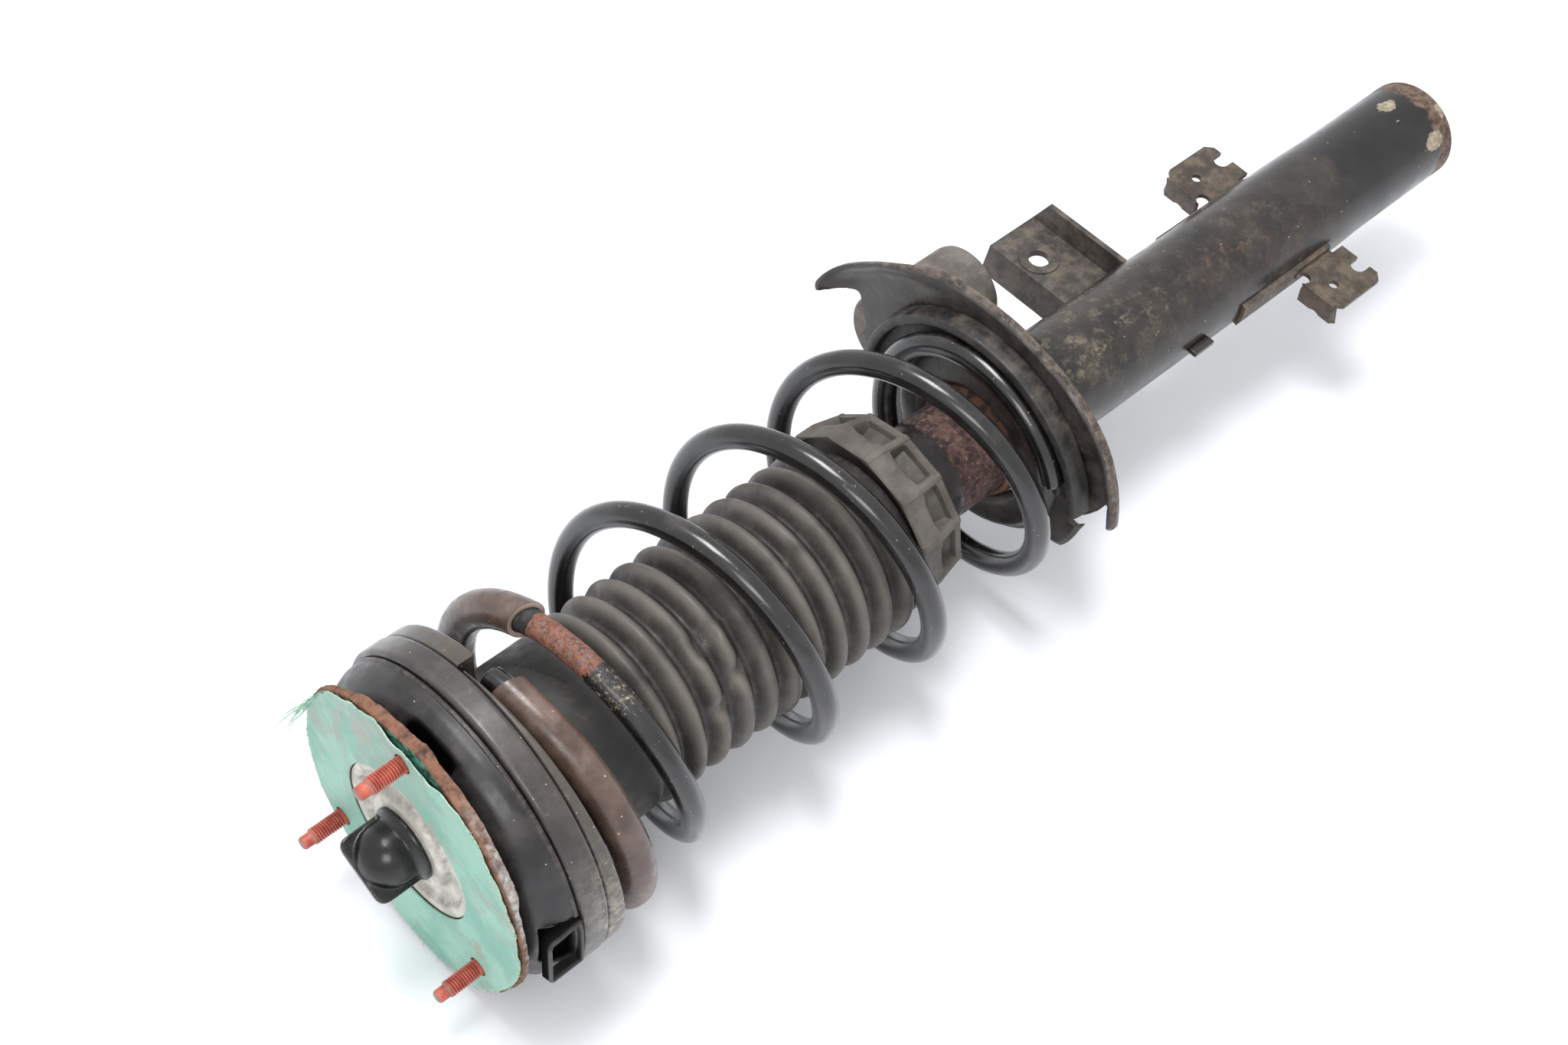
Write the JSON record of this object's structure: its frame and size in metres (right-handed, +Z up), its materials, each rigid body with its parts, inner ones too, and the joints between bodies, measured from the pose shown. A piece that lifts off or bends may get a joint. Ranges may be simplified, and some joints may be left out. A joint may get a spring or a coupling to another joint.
{
  "type": "suspension strut",
  "caption": "Telescopic suspension strut with side-loaded coil spring, bellows dust boot, stud-fixed top mount, cut-away spring seat, mass damper can and pressed link and hose brackets.",
  "frame": {"origin": "centre of the top mount's mounting face, on the damper axis", "axes": "+X along the damper axis from the top mount to the tube's lower end, +Z up as the strut lies on a table, +Y level and away from the viewer"},
  "size_m": [0.7035, 0.1855, 0.1637],
  "materials": {
    "gasket": "matte, mint green fibre gasket with dirt smears",
    "rusty_plate": "rusted steel plate edge",
    "red_stud": "red coated threads, worn grey at the tip",
    "cup_steel": "dull galvanised steel, dirty",
    "steel": "plain machined steel",
    "black_rubber": "black rubber",
    "housing_black": "black satin housing, dusty",
    "band_rubber": "grey black rubber, dusty",
    "foam": "yellowish polyurethane foam",
    "chrome_rod": "polished hard chrome",
    "sintered": "sintered iron",
    "ptfe": "bronze filled sealing band",
    "spring_black": "black gloss coating, dusty, flaked and rusted near the upper end",
    "sleeve_brown": "mauve brown rubber sleeve",
    "boot_rubber": "dusty dark rubber bellows",
    "tube_black": "black paint with rust specks and dried mud",
    "collar_grey": "grey plastic",
    "seat_black": "black paint, worn tan at the rim",
    "rusty_steel": "rusted steel",
    "can_grey": "dusty grey brown casting",
    "bracket_brown": "dusty brown grey coated sheet"
  },
  "bodies": {
    "top_mount": {"mount_gasket": "gasket", "mount_plate": "rusty_plate", "mount_studs": "red_stud", "mount_cup": "cup_steel", "mount_bush": "steel", "mount_rubber": "black_rubber", "upper_housing": "housing_black", "upper_spring_isolator": "band_rubber", "rod_nut": "steel", "dust_cap": "black_rubber", "bump_cup": "steel", "bump_stop": "foam", "piston_rod": "chrome_rod", "rebound_stop": "steel", "piston": "sintered", "piston_ring": "ptfe", "piston_nut": "steel", "coil_spring": "spring_black", "wire_sleeve": "sleeve_brown", "dust_boot": "boot_rubber"},
    "damper_body": {"damper_tube": "tube_black", "pressure_tube": "steel", "rod_guide": "sintered", "rod_seal": "black_rubber", "base_valve": "sintered", "tube_end_cap": "rusty_steel", "boot_collar": "collar_grey", "spring_seat": "seat_black", "seat_hub": "rusty_steel", "lower_spring_isolator": "black_rubber", "seat_gussets": "seat_black", "mass_damper": "can_grey", "mass_damper_bolt": "steel", "link_bracket": "bracket_brown", "hose_bracket_upper": "bracket_brown", "hose_bracket_lower": "bracket_brown", "tube_tab": "tube_black"}
  },
  "joints": [
    {"name": "damper_stroke", "type": "slide", "parent": "top_mount", "child": "damper_body", "axis": [-1, 0, 0], "range_m": [0, 0.138], "stiffness_N_per_m": 25000, "springref_m": -0.06, "deforming": ["coil_spring", "wire_sleeve", "dust_boot"]}
  ]
}
